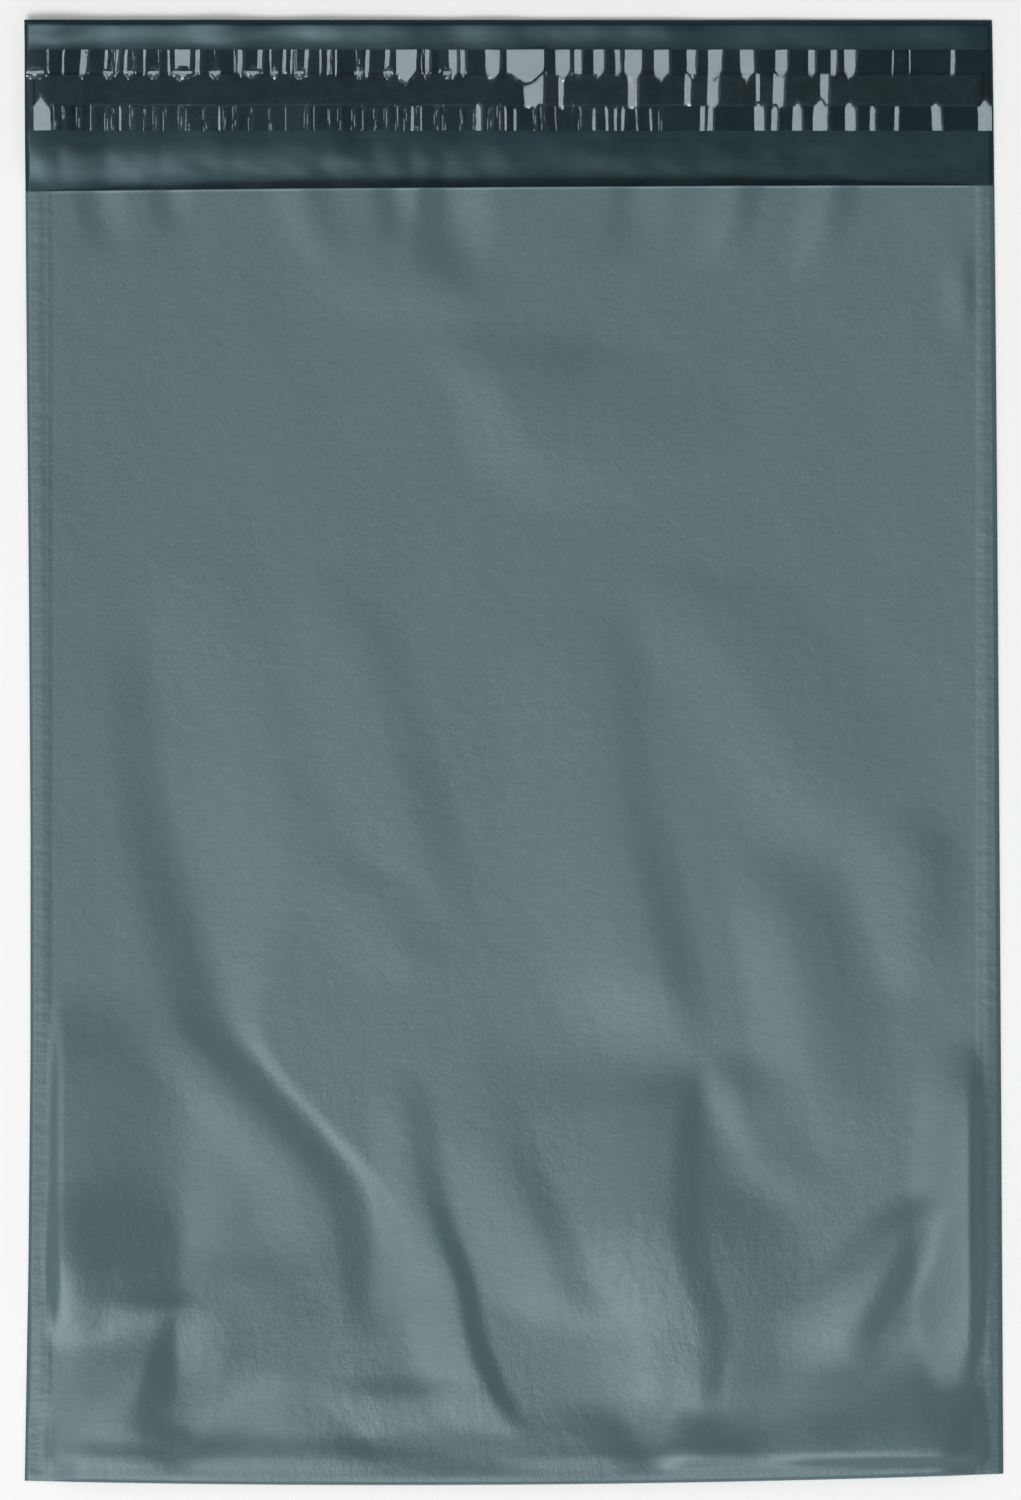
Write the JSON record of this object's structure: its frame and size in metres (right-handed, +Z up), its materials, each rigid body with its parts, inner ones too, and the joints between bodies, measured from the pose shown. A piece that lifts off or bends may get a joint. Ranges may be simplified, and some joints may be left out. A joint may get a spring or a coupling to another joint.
{
  "type": "poly mailer",
  "caption": "Flat plastic mailing bag with an open flap, an adhesive strip under a puckered clear release liner, and a pocket open at the flap end.",
  "frame": {"origin": "on the ground under the middle of the bag's outline, the back panel lying flat at z = 0", "axes": "+X across the bag, +Y along it towards the flap, +Z up out of the front panel"},
  "size_m": [0.2301, 0.3443, 0.0106],
  "materials": {
    "film": "satin polyethylene film, blue-grey outside and near black inside",
    "adhesive": "tacky gloss over the black film",
    "liner": "clear glossy release film"
  },
  "bodies": {
    "root": {"mailer_bag": "film", "adhesive_strip": "adhesive", "release_liner": "liner"}
  },
  "joints": []
}
